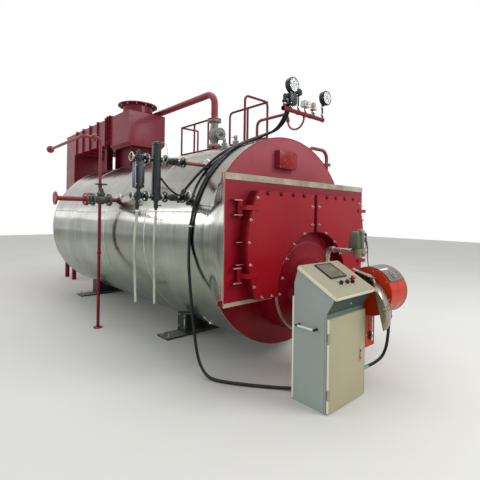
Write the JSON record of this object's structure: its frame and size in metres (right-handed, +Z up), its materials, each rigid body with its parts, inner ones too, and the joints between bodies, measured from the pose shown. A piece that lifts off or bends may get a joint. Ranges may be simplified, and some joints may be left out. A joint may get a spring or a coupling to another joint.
{
  "type": "industrial boiler",
  "caption": "Horizontal fire-tube steam boiler with a clad shell, hinged smokebox doors, gas burner, flue duct to a chimney neck, level gauges and a control desk.",
  "frame": {"origin": "on the floor, at the middle of the underside of the front saddle's foot plate, under the shell axis", "axes": "+Z up, +Y along the shell away from the burner, +X to the right seen from the burner end"},
  "size_m": [3.02, 8.0377, 3.6349],
  "materials": {
    "black_paint": "matt",
    "stainless_cladding": "thin polished sheet",
    "dark_crimson_paint": "satin oil paint",
    "crimson_paint": "glossy oil paint, dusty",
    "pale_strip": "dull galvanised sheet",
    "grey_casting": "silver-grey valve paint",
    "dial_case": "polished case",
    "dark_plastic": "matt",
    "black_valve": "black enamel",
    "navy_gauge": "satin",
    "pale_pipe": "zinc plated",
    "orange_burner": "gloss enamel",
    "silver_alloy": "cast",
    "gas_chrome": "galvanised",
    "black_cable": "matt",
    "desk_grey": "powder coat",
    "desk_cream": "powder coat",
    "desk_beige": "powder coat"
  },
  "bodies": {
    "boiler": {"front_saddle": "black_paint", "rear_saddle": "black_paint", "shell": "stainless_cladding", "front_tube_plate": "dark_crimson_paint", "rear_plate": "dark_crimson_paint", "smokebox": "crimson_paint", "smokebox_front": "crimson_paint", "cover_strips": "pale_strip", "door_frame": "dark_crimson_paint", "hinge_brackets": "crimson_paint", "furnace_mouth": "dark_crimson_paint", "nameplate_box": "crimson_paint", "flue_riser": "crimson_paint", "flue_duct": "crimson_paint", "expansion_joint": "dark_crimson_paint", "chimney_box": "crimson_paint", "chimney_neck": "dark_crimson_paint", "duct_support": "dark_crimson_paint", "steam_valve": "grey_casting", "steam_pipe": "crimson_paint", "safety_valves": "grey_casting", "vent_pipe": "dark_crimson_paint", "guard_rail": "dark_crimson_paint", "manifold_support": "dark_crimson_paint", "gauge_manifold": "dark_crimson_paint", "pressure_gauges": "dial_case", "pressure_switches": "dark_plastic", "gauge_pipes": "dark_crimson_paint", "gauge_valves": "black_valve", "water_column": "black_valve", "level_glass": "navy_gauge", "gauge_drains": "pale_pipe", "feed_pipe": "crimson_paint", "feed_valves": "black_valve", "standpipe": "dark_crimson_paint", "burner_head": "grey_casting", "burner_body": "orange_burner", "burner_fan_housing": "silver_alloy", "burner_top_plate": "grey_casting", "gas_train": "gas_chrome", "burner_cable": "black_cable", "desk_body": "desk_grey", "desk_back_panel": "desk_cream", "desk_top": "desk_beige", "desk_controls": "dark_plastic", "cladding_conduit": "black_cable", "control_cable": "black_cable"},
    "left_door": {"left_door": "crimson_paint"},
    "right_door": {"right_door": "crimson_paint"},
    "desk_door": {"desk_door": "desk_cream"},
    "feed_handwheel": {"feed_handwheel": "black_valve"},
    "upper_gauge_handwheel": {"upper_gauge_handwheel": "black_valve"},
    "lower_gauge_handwheel": {"lower_gauge_handwheel": "black_valve"}
  },
  "joints": [
    {"name": "left_door_hinge", "type": "hinge", "parent": "boiler", "child": "left_door", "pos_m": [-1, -1.662, 1.305], "axis": [0, 0, -1], "range_deg": [0, 90]},
    {"name": "right_door_hinge", "type": "hinge", "parent": "boiler", "child": "right_door", "pos_m": [1, -1.662, 1.305], "axis": [0, 0, 1], "range_deg": [0, 90]},
    {"name": "desk_door_hinge", "type": "hinge", "parent": "boiler", "child": "desk_door", "pos_m": [-0.712, -2.416, 0.4], "axis": [0, 0, -1], "range_deg": [0, 105]},
    {"name": "feed_valve_spindle", "type": "hinge", "parent": "boiler", "child": "feed_handwheel", "pos_m": [-1.293, 0.8, 1.96], "axis": [0, 0, 1], "continuous": true},
    {"name": "upper_gauge_spindle", "type": "hinge", "parent": "boiler", "child": "upper_gauge_handwheel", "pos_m": [-1.69, -0.91, 2.105], "axis": [-1, 0, 0], "continuous": true},
    {"name": "lower_gauge_spindle", "type": "hinge", "parent": "boiler", "child": "lower_gauge_handwheel", "pos_m": [-1.69, -0.91, 1.745], "axis": [-1, 0, 0], "continuous": true}
  ]
}
